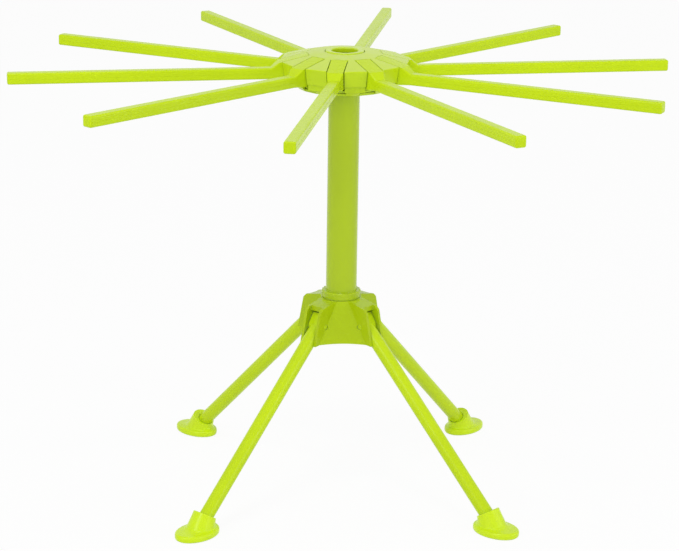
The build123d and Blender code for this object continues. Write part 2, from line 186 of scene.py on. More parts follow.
class RackFeet(bpy.types.PropertyGroup):
    """Sizes of an oval foot, as the frame's feet have them."""

    circle: length("Circle", 139.5 * MM, "Radius of the circle on which the soles stand")
    leg_circle: length("Leg circle", 142.5 * MM, "Where the legs' axes meet the floor")
    half_length: length("Half length", 17.0 * MM, "Half the sole's length, along its leg")
    half_width: length("Half width", 11.9 * MM, "Half the sole's width")
    sole: length("Sole", 4.6 * MM, "Height of the sole")
    edge: length("Edge", 1.6 * MM, "Rounding of the sole's edge")
    cup: length("Cup", 1.6 * MM, "Depth of the hollow under the sole")
    cup_rim: length("Cup rim", 3.2 * MM, "Width of the flat that the foot stands on")
    root_length: part_of("Root length", 0.585, "Length of the boss's root, as a share of the sole's")
    root_width: part_of("Root width", 0.744, "Width of the boss's root, as a share of the sole's")
    root_shift: part_of("Root shift", 0.216, "How far in the root stands, over half the sole's length")
    flare: length("Flare", 1.6 * MM, "Height of the hollow curve between sole and boss")
    boss: length("Boss", 7.9 * MM, "Radius of the boss round the leg")
    boss_lean: length("Boss lean", 7.3 * MM, "How far the rim's middle stands in from the sole's")
    boss_height: length("Boss height", 12.8 * MM, "Height of the rim's middle")
    boss_tilt: angle("Boss tilt", 31, "Lean of the rim towards the column")
    rim: length("Rim", 0.35 * MM, "Rounding of the boss's rim")
    leg_radius: length("Leg radius", 4.8 * MM, "Radius of the leg that goes into the boss")
    mouth: length("Mouth", 0.2 * MM, "Width of the dark gap round the leg")
    mouth_edge: length("Mouth edge", 0.3 * MM, "Rounding of the mouth's edge")
    mouth_depth: length("Mouth depth", 1.8 * MM, "Depth of that gap")
    sides: count("Sides", 64, 16, 96, "Points round the foot")
    steps: count("Steps", 6, 2, 12, "Rings across each rounded edge")


class RackView(bpy.types.PropertyGroup):
    """The camera and the room's light."""

    focal: plain_number("Focal length", 126.6, "Focal length in millimetres")
    sensor: plain_number("Sensor", 36.0, "Width of the sensor in millimetres")
    place: FloatVectorProperty(
        name="Place",
        description="Where the camera stands",
        subtype="XYZ",
        default=(-0.0992, -1.5555, 0.6125),
    )
    turn: angle("Turn", -3.6, "Heading to the left of +Y")
    dip: angle("Dip", 16.58, "How far the view looks down")
    roll: angle("Roll", 0.85, "Tilt of the camera")
    sky: plain_number("Sky", 0.76, "Strength of the soft light from the horizon")
    zenith: plain_number("Zenith", 0.5, "Strength of the soft light from above")
    floor_width: length("Floor width", 12.0, "Width of the floor")


class RackSettings(bpy.types.PropertyGroup):
    """Everything that a user can change."""

    colours: PointerProperty(type=RackColours)
    edges: PointerProperty(type=RackEdges)
    marks: PointerProperty(type=RackMarks)
    feet: PointerProperty(type=RackFeet)
    view: PointerProperty(type=RackView)


# Node helpers


def white_light(tree, kind, strength):
    """A white emission or background node of a given strength."""
    made = tree.nodes.new(kind)
    made.inputs["Color"].default_value = (1.0, 1.0, 1.0, 1.0)
    made.inputs["Strength"].default_value = strength
    return made


def join(tree, source, output, target, entry):
    """A link from one node's output to another's input."""
    tree.links.new(source.outputs[output], target.inputs[entry])


def maths(tree, operation, first, second=None, clamp=False):
    """A maths node on sockets or numbers, which returns its output."""
    made = tree.nodes.new("ShaderNodeMath")
    made.operation = operation
    made.use_clamp = clamp
    for entry, value in zip(made.inputs, (first, second)):
        if value is None:
            continue
        if isinstance(value, (int, float)):
            entry.default_value = value
        else:
            tree.links.new(value, entry)
    return made.outputs[0]


def remap(tree, value, low, high, out_low=0.0, out_high=1.0):
    """A value spread from one span to another, and held at its ends."""
    made = tree.nodes.new("ShaderNodeMapRange")
    made.interpolation_type = "SMOOTHSTEP"
    tree.links.new(value, made.inputs["Value"])
    spans = {"From Min": low, "From Max": high, "To Min": out_low, "To Max": out_high}
    for entry, number in spans.items():
        made.inputs[entry].default_value = number
    return made.outputs["Result"]


def noise(tree, place, scale, detail=2.0, roughness=0.5):
    """Noise at a scale, which may be a socket or a number."""
    made = tree.nodes.new("ShaderNodeTexNoise")
    tree.links.new(place, made.inputs["Vector"])
    made.inputs["Detail"].default_value = detail
    made.inputs["Roughness"].default_value = roughness
    if isinstance(scale, (int, float)):
        made.inputs["Scale"].default_value = scale
    else:
        tree.links.new(scale, made.inputs["Scale"])
    return made.outputs["Fac"]


def blend_colours(tree, share, first, second):
    """One colour over another by a share."""
    made = tree.nodes.new("ShaderNodeMix")
    made.data_type = "RGBA"
    colours = [entry for entry in made.inputs if entry.type == "RGBA"]
    tree.links.new(share, made.inputs["Factor"])
    for entry, value in zip(colours, (first, second)):
        if isinstance(value, tuple):
            entry.default_value = value
        else:
            tree.links.new(value, entry)
    return next(socket for socket in made.outputs if socket.type == "RGBA")


def add_bump(tree, shader, height, strength, distance):
    """Fine relief from a height, on the shader's normal."""
    bump = tree.nodes.new("ShaderNodeBump")
    bump.inputs["Strength"].default_value = strength
    bump.inputs["Distance"].default_value = distance
    tree.links.new(height, bump.inputs["Height"])
    join(tree, bump, "Normal", shader, "Normal")


def new_group(name, entries, exits):
    """An empty shader group with named inputs and outputs, and its two end nodes."""
    tree = bpy.data.node_groups.new(name, "ShaderNodeTree")
    for title, kind, default in entries:
        socket = tree.interface.new_socket(name=title, in_out="INPUT", socket_type=kind)
        if default is not None:
            socket.default_value = default
    for title, kind in exits:
        tree.interface.new_socket(name=title, in_out="OUTPUT", socket_type=kind)
    return tree, tree.nodes.new("NodeGroupInput"), tree.nodes.new("NodeGroupOutput")


# Shared node groups


def pigment_group():
    """Slow drift of the pigment, with flow streaks."""
    tree, given, result = new_group(
        "Pigment Drift",
        [
            ("Vector", "NodeSocketVector", None),
            ("Colour", "NodeSocketColor", None),
            ("Deep Colour", "NodeSocketColor", None),
            ("Scale", "NodeSocketFloat", 30.0),
            ("Amount", "NodeSocketFloat", 0.5),
        ],
        [("Colour", "NodeSocketColor")],
    )
    place = given.outputs["Vector"]
    cloud = noise(tree, place, given.outputs["Scale"], detail=2.0, roughness=0.45)
    streak_scale = maths(tree, "MULTIPLY", given.outputs["Scale"], STREAK_FINENESS)
    streak = noise(tree, place, streak_scale, detail=3.0, roughness=0.6)
    clouds = maths(tree, "MULTIPLY", cloud, CLOUD_SHARE)
    mixed = maths(tree, "ADD", clouds, maths(tree, "MULTIPLY", streak, STREAK_SHARE))
    share = maths(tree, "MULTIPLY", remap(tree, mixed, low=0.35, high=0.68), given.outputs["Amount"])
    colour = blend_colours(tree, share, given.outputs["Colour"], given.outputs["Deep Colour"])
    tree.links.new(colour, result.inputs["Colour"])
    return tree


def skin_group():
    """The fine skin of a polished mould: faint ripple, fine grain and a gloss that wanders."""
    tree, given, result = new_group(
        "Moulded Skin",
        [
            ("Vector", "NodeSocketVector", None),
            ("Grain Scale", "NodeSocketFloat", 2600.0),
            ("Ripple Scale", "NodeSocketFloat", 160.0),
            ("Grain Share", "NodeSocketFloat", 0.25),
        ],
        [("Height", "NodeSocketFloat"), ("Gloss Change", "NodeSocketFloat")],
    )
    place = given.outputs["Vector"]
    grain = noise(tree, place, given.outputs["Grain Scale"], detail=2.0, roughness=0.6)
    ripple = noise(tree, place, given.outputs["Ripple Scale"], detail=1.0, roughness=0.4)
    fine = maths(tree, "MULTIPLY", grain, given.outputs["Grain Share"])
    tree.links.new(maths(tree, "ADD", fine, ripple), result.inputs["Height"])
    change = remap(tree, ripple, low=0.3, high=0.7, out_low=-GLOSS_WANDER, out_high=GLOSS_WANDER)
    tree.links.new(change, result.inputs["Gloss Change"])
    return tree


def wear_and_highlight_group():
    """Where hands rub an edge, and a painted highlight along it: a mask from the edge's own sharpness,
    broken up by noise.
    """
    tree, given, result = new_group(
        "Edge Wear And Highlight",
        [
            ("Vector", "NodeSocketVector", None),
            ("Breakup Scale", "NodeSocketFloat", 420.0),
            ("Amount", "NodeSocketFloat", 0.5),
        ],
        [("Mask", "NodeSocketFloat")],
    )
    rounded = tree.nodes.new("ShaderNodeBevel")
    rounded.samples = WEAR_AND_HIGHLIGHT_SAMPLES
    rounded.inputs["Radius"].default_value = WEAR_AND_HIGHLIGHT_REACH
    surface = tree.nodes.new("ShaderNodeNewGeometry")
    facing = tree.nodes.new("ShaderNodeVectorMath")
    facing.operation = "DOT_PRODUCT"
    join(tree, rounded, "Normal", facing, 0)
    join(tree, surface, "Normal", facing, 1)
    sharpness = remap(tree, facing.outputs["Value"], low=0.995, high=0.90)
    place = given.outputs["Vector"]
    broken = noise(tree, place, given.outputs["Breakup Scale"], detail=4.0, roughness=0.65)
    worn_and_highlit = maths(tree, "MULTIPLY", sharpness, remap(tree, broken, low=0.38, high=0.66))
    mask = maths(tree, "MULTIPLY", worn_and_highlit, given.outputs["Amount"], clamp=True)
    tree.links.new(mask, result.inputs["Mask"])
    return tree


def scuff_group():
    """Fine hairlines from handling and stacking, in scattered patches."""
    tree, given, result = new_group(
        "Handling Scuffs",
        [
            ("Vector", "NodeSocketVector", None),
            ("Scale", "NodeSocketFloat", 90.0),
            ("Amount", "NodeSocketFloat", 0.5),
        ],
        [("Mask", "NodeSocketFloat")],
    )
    lines = None
    for turn, stretch in HAIR_LAYERS:
        mapping = tree.nodes.new("ShaderNodeMapping")
        mapping.inputs["Rotation"].default_value = (turn, turn * 2, turn * 3)
        mapping.inputs["Scale"].default_value = (stretch, 1.0, 1.0)
        tree.links.new(given.outputs["Vector"], mapping.inputs["Vector"])
        streak = noise(tree, mapping.outputs["Vector"], given.outputs["Scale"], detail=1.0, roughness=0.3)
        offset = maths(tree, "ABSOLUTE", maths(tree, "SUBTRACT", streak, NOISE_MIDDLE))
        hair = remap(tree, offset, low=HAIR_WIDTH, high=0.0)
        lines = hair if lines is None else maths(tree, "MAXIMUM", lines, hair)
    patches = remap(tree, noise(tree, given.outputs["Vector"], scale=55.0), low=0.52, high=0.7)
    scattered = maths(tree, "MULTIPLY", lines, patches)
    mask = maths(tree, "MULTIPLY", scattered, given.outputs["Amount"], clamp=True)
    tree.links.new(mask, result.inputs["Mask"])
    return tree


def corner_group():
    """How much a spot is shut in, for the fine dust that stays in corners."""
    tree, given, result = new_group(
        "Corner Dust",
        [("Vector", "NodeSocketVector", None), ("Amount", "NodeSocketFloat", 0.3)],
        [("Mask", "NodeSocketFloat")],
    )
    closed = tree.nodes.new("ShaderNodeAmbientOcclusion")
    closed.samples = CORNER_SAMPLES
    closed.inputs["Distance"].default_value = CORNER_REACH
    shut_in = remap(tree, closed.outputs["AO"], low=0.75, high=0.35)
    grains = noise(tree, given.outputs["Vector"], scale=700.0, detail=4.0, roughness=0.7)
    settled = maths(tree, "MULTIPLY", shut_in, remap(tree, grains, low=0.42, high=0.62))
    mask = maths(tree, "MULTIPLY", settled, given.outputs["Amount"], clamp=True)
    tree.links.new(mask, result.inputs["Mask"])
    return tree


def upward_pale_group():
    """A paler colour in blotches on what faces up, from the normal's upward part and noise."""
    tree, given, result = new_group(
        "Upward Paleness",
        [("Vector", "NodeSocketVector", None), ("Amount", "NodeSocketFloat", 0.3)],
        [("Mask", "NodeSocketFloat")],
    )
    surface = tree.nodes.new("ShaderNodeNewGeometry")
    upright = tree.nodes.new("ShaderNodeSeparateXYZ")
    join(tree, surface, "Normal", upright, "Vector")
    upward = remap(tree, upright.outputs["Z"], low=0.55, high=0.98)
    blotches = noise(tree, given.outputs["Vector"], scale=60.0, detail=3.0, roughness=0.6)
    grains = noise(tree, given.outputs["Vector"], scale=1500.0, detail=2.0, roughness=0.7)
    wide = remap(tree, blotches, low=0.2, high=0.75, out_low=0.55)
    fine = remap(tree, grains, low=0.3, high=0.7, out_low=0.7)
    settled = maths(tree, "MULTIPLY", maths(tree, "MULTIPLY", upward, wide), fine)
    mask = maths(tree, "MULTIPLY", settled, given.outputs["Amount"], clamp=True)
    tree.links.new(mask, result.inputs["Mask"])
    return tree


GROUP_MAKERS = {
    "Pigment Drift": pigment_group,
    "Moulded Skin": skin_group,
    "Edge Wear And Highlight": wear_and_highlight_group,
    "Handling Scuffs": scuff_group,
    "Corner Dust": corner_group,
    "Upward Paleness": upward_pale_group,
}


def use_group(tree, title, place, **values):
    """Places a shared group in a material, and makes it the first time."""
    made = tree.nodes.new("ShaderNodeGroup")
    made.node_tree = bpy.data.node_groups.get(title) or GROUP_MAKERS[title]()
    tree.links.new(place, made.inputs["Vector"])
    for name, value in values.items():
        made.inputs[name.replace("_", " ").title()].default_value = value
    return made


def opaque(colour):
    """A colour with full alpha, for a colour socket."""
    return (*colour, 1.0)


# Materials


def start_material(name):
    """An empty material with its shader, its output and the piece's own coordinates."""
    material = bpy.data.materials.new(name)
    material.use_nodes = True
    tree = material.node_tree
    tree.nodes.clear()
    shader = tree.nodes.new("ShaderNodeBsdfPrincipled")
    output = tree.nodes.new("ShaderNodeOutputMaterial")
    join(tree, shader, "BSDF", output, "Surface")
    place = tree.nodes.new("ShaderNodeTexCoord").outputs["Object"]
    return material, tree, shader, place


Plastic = namedtuple("Plastic", "tint gloss shine drift_scale drift wear scuffs dust haze")
PLASTICS = {
    "head": Plastic("lime", 0.3, 0.34, 24.0, 0.45, 0.35, 0.3, 0.3, 0.2),
    "ring": Plastic("lime", 0.22, 0.4, 40.0, 0.35, 0.5, 0.5, 0.3, 0.0),
    "arm": Plastic("lime", 0.26, 0.16, 14.0, 0.3, 0.15, 0.15, 0.1, 0.0),
    # Column, collar and lower hub take the lime darkened as painted shade
    "column": Plastic("shaded_column_lime", 0.14, 0.4, 12.0, 0.3, 0.15, 0.2, 0.2, 0.0),
    "collar": Plastic("shaded_column_lime", 0.26, 0.35, 40.0, 0.4, 0.5, 0.25, 0.4, 0.0),
    "hub": Plastic("shaded_column_lime", 0.26, 0.24, 24.0, 0.45, 0.35, 0.3, 0.3, 0.0),
    "leg": Plastic("lime", 0.24, 0.22, 18.0, 0.35, 0.2, 0.2, 0.15, 0.0),
    "pin": Plastic("lime", 0.34, 0.4, 60.0, 0.5, 0.5, 0.2, 0.5, 0.0),
    "inner": Plastic("lime", 0.38, 0.4, 30.0, 0.6, 0.2, 0.1, 0.5, 0.0),
    # Feet take the lime lightened as painted light
    "foot": Plastic("lit_foot_lime", 0.28, 0.3, 34.0, 0.3, 0.2, 0.25, 0.25, 0.0),
}


def moulded_plastic(name, finish):
    """Glossy injection-moulded plastic with pigment drift, rubbed edges that also carry a painted
    highlight, hairlines, dusty corners and blotches laid paler on upward faces.
    """
    colours = bpy.context.scene.rack.colours
    material, tree, shader, place = start_material(name)
    # The tint is the plain lime for most pieces, a copy darkened as painted shade for column, collar and
    # hub, and a copy lightened as painted light for the feet
    tint = getattr(colours, finish.tint)
    deep = colours.lime if finish.tint == "lit_foot_lime" else colours.lime_deep
    pigment = use_group(tree, "Pigment Drift", place, scale=finish.drift_scale, amount=finish.drift)
    pigment.inputs["Colour"].default_value = opaque(tint)
    pigment.inputs["Deep Colour"].default_value = opaque(deep)
    worn_and_highlit = use_group(tree, "Edge Wear And Highlight", place, amount=finish.wear).outputs["Mask"]
    hairs = use_group(tree, "Handling Scuffs", place, amount=finish.scuffs).outputs["Mask"]
    dusty = use_group(tree, "Corner Dust", place, amount=finish.dust).outputs["Mask"]
    upward_pale_mask = use_group(tree, "Upward Paleness", place, amount=finish.haze).outputs["Mask"]
    skin = use_group(tree, "Moulded Skin", place)
    # Edges take the paler lime as rubbed wear and as a painted highlight, and hairlines take a little of
    # it
    paler = maths(tree, "MAXIMUM", worn_and_highlit, maths(tree, "MULTIPLY", hairs, HAIR_PALENESS))
    colour = blend_colours(tree, paler, pigment.outputs["Colour"], opaque(colours.rubbed_and_highlight))
    # The head's upward faces are laid paler in blotches
    colour = blend_colours(tree, upward_pale_mask, colour, opaque(colours.haze))
    colour = blend_colours(tree, dusty, colour, opaque(colours.dust))
    tree.links.new(colour, shader.inputs["Base Color"])
    rough = maths(tree, "ADD", finish.gloss, skin.outputs["Gloss Change"])
    for mask, roughening in ((worn_and_highlit, 0.15), (hairs, 0.2), (upward_pale_mask, 0.4), (dusty, 0.5)):
        rough = maths(tree, "ADD", rough, maths(tree, "MULTIPLY", mask, roughening), clamp=True)
    tree.links.new(rough, shader.inputs["Roughness"])
    cuts = maths(tree, "MULTIPLY", hairs, HAIR_DEPTH)
    depth = maths(tree, "SUBTRACT", skin.outputs["Height"], cuts)
    add_bump(tree, shader, depth, strength=0.25, distance=0.04 * MM)
    shader.inputs["IOR"].default_value = 1.47
    shader.inputs["Specular IOR Level"].default_value = finish.shine
    return material


def plated_steel(name):
    """Zinc-plated steel with fine turning marks and dull patches."""
    colours = bpy.context.scene.rack.colours
    material, tree, shader, place = start_material(name)
    patches = noise(tree, place, scale=900.0, detail=4.0, roughness=0.6)
    dark = tuple(part * DULL_STEEL for part in colours.steel)
    dull = remap(tree, patches, low=0.35, high=0.7)
    tint = blend_colours(tree, dull, opaque(colours.steel), opaque(dark))
    tree.links.new(tint, shader.inputs["Base Color"])
    turning = tree.nodes.new("ShaderNodeTexWave")
    turning.wave_type = "RINGS"
    turning.rings_direction = "Z"
    turning.inputs["Scale"].default_value = 900.0
    turning.inputs["Distortion"].default_value = 1.5
    tree.links.new(place, turning.inputs["Vector"])
    rough = remap(tree, patches, low=0.3, high=0.7, out_low=0.24, out_high=0.42)
    tree.links.new(rough, shader.inputs["Roughness"])
    add_bump(tree, shader, turning.outputs["Fac"], strength=0.3, distance=0.02 * MM)
    shader.inputs["Metallic"].default_value = 1.0
    return material


def white_to_mirrors(tree):
    """Whether a ray from the camera, a reflection or a clear piece meets the white background."""
    seen = tree.nodes.new("ShaderNodeLightPath")
    mirrored = maths(tree, "MAXIMUM", seen.outputs["Is Glossy Ray"], seen.outputs["Is Transmission Ray"])
    return maths(tree, "MAXIMUM", seen.outputs["Is Camera Ray"], mirrored)


def pale_floor(name):
    """A plain pale floor that the camera sees as near white, with the object's shadow kept."""
    colours = bpy.context.scene.rack.colours
    material, tree, shader, place = start_material(name)
    output = next(made for made in tree.nodes if made.type == "OUTPUT_MATERIAL")
    cloud = remap(tree, noise(tree, place, scale=3.0), low=0.3, high=0.7)
    paler = tuple(min(1.0, part * FLOOR_LIFT) for part in colours.floor)
    tint = blend_colours(tree, cloud, opaque(colours.floor), opaque(paler))
    tree.links.new(tint, shader.inputs["Base Color"])
    shader.inputs["Roughness"].default_value = 0.7
    shader.inputs["Specular IOR Level"].default_value = 0.2
    white = white_light(tree, "ShaderNodeEmission", 1.0)
    mixed = tree.nodes.new("ShaderNodeMixShader")
    tree.links.new(maths(tree, "MULTIPLY", white_to_mirrors(tree), FLOOR_WHITE), mixed.inputs[0])
    join(tree, shader, "BSDF", mixed, 1)
    join(tree, white, "Emission", mixed, 2)
    join(tree, mixed, "Shader", output, "Surface")
    return material


def material_for(kind):
    """The material of one kind of piece, made the first time it is asked for."""
    name = f"{kind} finish"
    if name in bpy.data.materials:
        return bpy.data.materials[name]
    if kind == "steel":
        return plated_steel(name)
    if kind == "floor":
        return pale_floor(name)
    return moulded_plastic(name, PLASTICS[kind])


# Mesh helpers


def give_material(piece, kind):
    """Puts one material on the whole piece."""
    piece.data.materials.clear()
    piece.data.materials.append(material_for(kind))


def to_piece(mesh, name, kind, body):
    """Makes a finished mesh a piece that rides on a body."""
    if not mesh.faces:
        raise RuntimeError(f"{name} has no faces")
    data = bpy.data.meshes.new(name)
    mesh.to_mesh(data)
    mesh.free()
    data.polygons.foreach_set("use_smooth", [True] * len(data.polygons))
    data.set_sharp_from_angle(angle=SHARP_FROM)
    piece = bpy.data.objects.new(name, data)
    bpy.context.scene.collection.objects.link(piece)
    give_material(piece, kind)
    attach(piece, body)
    return piece


def even_shading(piece):
    """Keeps flat faces looking flat beside rounded edges."""
    weighted = piece.modifiers.new("Even shading", "WEIGHTED_NORMAL")
    weighted.keep_sharp = True


def softened(node_name, edge, kind, body):
    """A copy of a frame node with its sharp edges rounded over, which stands for that node."""
    mesh = bmesh.new()
    mesh.from_mesh(frame["nodes"][node_name].data)
    bmesh.ops.remove_doubles(mesh, verts=mesh.verts, dist=WELD)
    bmesh.ops.dissolve_limit(mesh, angle_limit=FLAT_WITHIN, verts=mesh.verts, edges=mesh.edges)
    chosen = [side for side in mesh.edges if side.is_manifold and side.calc_face_angle() > ROUNDED_FROM]
    if not chosen:
        raise RuntimeError(f"{node_name} has no sharp edge to round over")
    bmesh.ops.bevel(
        mesh,
        geom=chosen,
        offset=edge,
        offset_type="OFFSET",
        segments=bpy.context.scene.rack.edges.steps,
        profile=0.5,
        affect="EDGES",
        clamp_overlap=True,
        loop_slide=True,
        material=-1,
    )
    piece = to_piece(mesh, f"{node_name}_finish", kind, body)
    even_shading(piece)
    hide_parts(node_name)
    return piece


def dress_node(node_name, kind):
    """Gives a frame node that keeps its own mesh its material."""
    give_material(frame["nodes"][node_name], kind)


def heading(joint_name):
    """The direction in which an arm or a leg points, and its hinge's place."""
    place = Vector(JOINTS[joint_name]["pos_m"])
    return atan2(place.y, place.x), place


# Moulding marks


def round_over(mesh, outer, offset):
    """Rounds over the edges that run between a mark's outer corners."""
    crest = [side for side in mesh.edges if all(corner in outer for corner in side.verts)]
    bmesh.ops.bevel(
        mesh,
        geom=crest,
        offset=offset,
        segments=2,
        profile=0.5,
        affect="EDGES",
        clamp_overlap=True,
        material=-1,
    )


def ridge(mesh, start, end, rise, width, height):
    """A fine ridge from start to end, half sunk in the face under it, with its outer edges rounded."""
    along = (end - start).normalized()
    across = rise.cross(along).normalized()
    turn = Matrix((along, across, rise.normalized())).transposed().to_4x4()
    size = Matrix.Diagonal(((end - start).length, width, height * 2, 1.0))
    place = Matrix.Translation((start + end) / 2) @ turn @ size
    corners = bmesh.ops.create_cube(mesh, size=1.0, matrix=place)["verts"]
    outer = {corner for corner in corners if (corner.co - start).dot(rise) > 0}
    round_over(mesh, outer, offset=height * 0.8)


def low_disc(mesh, centre, rise, radius, height):
    """A low round mark, half sunk in the face that it stands on, with its outer edge rounded."""
    turn = rise.to_track_quat("Z", "Y").to_matrix().to_4x4()
    corners = bmesh.ops.create_cone(
        mesh,
        cap_ends=True,
        segments=DISC_SIDES,
        radius1=radius,
        radius2=radius,
        depth=height * 2,
        matrix=Matrix.Translation(centre) @ turn,
    )["verts"]
    outer = {corner for corner in corners if (corner.co - centre).dot(rise) > 0}
    round_over(mesh, outer, offset=height * 0.7)


# Operators


class RACK_OT_stage(bpy.types.Operator):
    """Makes the floor, the room's light, the lamps and the camera"""

    bl_idname = "rack.stage"
    bl_label = "Stage"

    lamp_aim = (0.0, 0.0, 0.18)

    def execute(self, context):
        view = context.scene.rack.view
        self.make_floor(view.floor_width)
        self.make_sky(view.sky, view.zenith)
        self.make_lamps()
        lens = bpy.data.cameras.new("camera")
        lens.sensor_fit = "HORIZONTAL"
        lens.sensor_width = view.sensor
        lens.lens = view.focal
        camera = bpy.data.objects.new("camera", lens)
        turned = Matrix.Rotation(view.turn, 4, "Z") @ Matrix.Rotation(pi / 2 - view.dip, 4, "X")
        rolled = turned @ Matrix.Rotation(view.roll, 4, "Z")
        camera.matrix_world = Matrix.Translation(view.place) @ rolled
        context.scene.collection.objects.link(camera)
        context.scene.camera = camera
        context.scene.view_settings.view_transform = "Standard"
        return {"FINISHED"}

    def make_floor(self, width):
        """One wide pale floor."""
        mesh = bmesh.new()
        bmesh.ops.create_grid(mesh, x_segments=8, y_segments=8, size=width / 2)
        data = bpy.data.meshes.new("floor")
        mesh.to_mesh(data)
        mesh.free()
        floor = bpy.data.objects.new("floor", data)
        bpy.context.scene.collection.objects.link(floor)
        give_material(floor, "floor")

    def make_sky(self, horizon, zenith):
        """Soft pale light that weakens towards the zenith, seen as white."""
        world = bpy.data.worlds.new("room")
        bpy.context.scene.world = world
        world.use_nodes = True
        tree = world.node_tree
        tree.nodes.clear()
        even = white_light(tree, "ShaderNodeBackground", horizon)
        heights = tree.nodes.new("ShaderNodeSeparateXYZ")
        join(tree, tree.nodes.new("ShaderNodeTexCoord"), "Generated", heights, "Vector")
        upward = heights.outputs["Z"]
        strength = remap(tree, upward, low=0.0, high=1.0, out_low=horizon, out_high=zenith)
        tree.links.new(strength, even.inputs["Strength"])
        white = white_light(tree, "ShaderNodeBackground", 1.0)
        mixed = tree.nodes.new("ShaderNodeMixShader")
        tree.links.new(white_to_mirrors(tree), mixed.inputs[0])
        join(tree, even, "Background", mixed, 1)
        join(tree, white, "Background", mixed, 2)
        output = tree.nodes.new("ShaderNodeOutputWorld")
        join(tree, mixed, "Shader", output, "Surface")

    def make_lamps(self):
        """A key softbox at the left, a weak fill and a tall strip at the right, and one overhead."""
        middle = Vector(self.lamp_aim)
        for name, place, width, height, power in (
            ("key softbox", (-1.1, -1.3, 1.2), 0.8, 1.0, 9.0),
            ("fill softbox", (1.3, -1.1, 0.6), 0.5, 1.0, 3.5),
            ("side strip", (1.35, -0.3, 0.35), 0.07, 1.0, 2.2),
            ("overhead softbox", (-0.15, -0.5, 1.7), 0.4, 0.25, 5.0),
        ):
            light = bpy.data.lights.new(name, "AREA")
            light.shape = "RECTANGLE"
            light.size = width
            light.size_y = height
            light.energy = power
            lamp = bpy.data.objects.new(name, light)
            lamp.location = place
            lamp.rotation_euler = (middle - Vector(place)).to_track_quat("-Z", "Y").to_euler()
            bpy.context.scene.collection.objects.link(lamp)


class RACK_OT_head(bpy.types.Operator):
    """Finishes the head and the base under it"""

    bl_idname = "rack.head"
    bl_label = "Head"

    def execute(self, context):
        edges = context.scene.rack.edges
        softened("head_body", edges.head, "head", "stand")
        softened("head_base", edges.base, "head", "stand")
        return {"FINISHED"}


class RACK_OT_lifter(bpy.types.Operator):
    """Finishes the finger ring, and the carrier and its retainer inside the head"""

    bl_idname = "rack.lifter"
    bl_label = "Ring and carrier"

    def execute(self, context):
        edges = context.scene.rack.edges
        softened("lift_ring", edges.ring, "ring", "lifter")
        dress_node("lift_carrier", "inner")
        dress_node("carrier_retainer", "inner")
        return {"FINISHED"}


class RACK_OT_arms(bpy.types.Operator):
    """Rounds the arms' roots and adds the parting lines, ejector marks and gate stubs"""

    bl_idname = "rack.arms"
    bl_label = "Arms"

    ejector_shares = (0.13, 0.51, 0.9)
    gate_share = 0.975

    def execute(self, context):
        edges = context.scene.rack.edges
        for arm in ARMS:
            softened(arm, edges.arm, "arm", f"{arm}_body")
            self.add_marks(arm, context.scene.rack.marks)
        return {"FINISHED"}

    def add_marks(self, arm, marks):
        """Parting lines along both sides, ejector marks below and the gate stub near the tip."""
        turn, hinge = heading(f"{arm}_fold")
        along = Vector((cos(turn), sin(turn), 0.0))
        across = Vector((-sin(turn), cos(turn), 0.0))
        down = Vector((0.0, 0.0, -1.0))
        half = marks.bar_width / 2
        start = hinge + along * (marks.bar_start - hinge.xy.length)
        end = hinge + along * (marks.bar_end - hinge.xy.length)
        mesh = bmesh.new()
        for outward in (across, -across):
            face = outward * half
            ridge(mesh, start + face, end + face, outward, marks.seam_width, marks.seam_height)
        under = down * half
        for share in self.ejector_shares:
            centre = start.lerp(end, share) + under
            low_disc(mesh, centre, down, marks.ejector_radius, marks.ejector_height)
        gate = start.lerp(end, self.gate_share) + under
        low_disc(mesh, gate, down, marks.gate_radius, marks.gate_height)
        to_piece(mesh, f"{arm}_mould_marks", "arm", f"{arm}_body")


class RACK_OT_column(bpy.types.Operator):
    """Finishes the column tube, its collar and its plug"""

    bl_idname = "rack.column"
    bl_label = "Column"

    def execute(self, context):
        edges = context.scene.rack.edges
        softened("column_tube", edges.column, "column", "stand")
        softened("column_collar", edges.collar, "collar", "stand")
        dress_node("column_plug", "inner")
        return {"FINISHED"}


class RACK_OT_hub(bpy.types.Operator):
    """Rounds the lower hub and its forks, and finishes the cover with its ejector marks"""

    bl_idname = "rack.hub"
    bl_label = "Lower hub"

    def execute(self, context):
        edges = context.scene.rack.edges
        softened("leg_hub", edges.hub, "hub", "stand")
        softened("hub_cover", edges.cover, "hub", "stand")
        self.add_marks(context.scene.rack.marks)
        return {"FINISHED"}

    def add_marks(self, marks):
        """One ejector mark on the cover's underside between each two legs."""
        down = Vector((0.0, 0.0, -1.0))
        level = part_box("hub_cover")[0][2]
        mesh = bmesh.new()
        for leg in LEGS:
            turn = heading(f"{leg}_fold")[0] + pi / LEG_COUNT
            reach = marks.cover_ejector_reach
            centre = Vector((cos(turn) * reach, sin(turn) * reach, level))
            low_disc(mesh, centre, down, marks.ejector_radius, marks.ejector_height)
        to_piece(mesh, "hub_cover_mould_marks", "hub", "stand")


class RACK_OT_legs(bpy.types.Operator):
    """Rounds the legs' heels and adds their parting lines"""

    bl_idname = "rack.legs"
    bl_label = "Legs"

    def execute(self, context):
        for leg in LEGS:
            softened(leg, context.scene.rack.edges.leg, "leg", f"{leg}_body")
            self.add_seams(leg, context.scene.rack.marks, context.scene.rack.feet.leg_circle)
        return {"FINISHED"}

    def add_seams(self, leg, marks, circle):
        """A parting line along each side of the round rod, from the fork to the foot."""
        turn, hinge = heading(f"{leg}_fold")
        across = Vector((-sin(turn), cos(turn), 0.0))
        sole = Vector((cos(turn), sin(turn), 0.0)) * circle
        along = (sole - hinge).normalized()
        start = hinge + along * marks.rod_start
        end = sole - along * marks.rod_end
        mesh = bmesh.new()
        for outward in (across, -across):
            face = outward * marks.rod_radius
            ridge(mesh, start + face, end + face, outward, marks.seam_width, marks.seam_height)
        to_piece(mesh, f"{leg}_seams", "leg", f"{leg}_body")


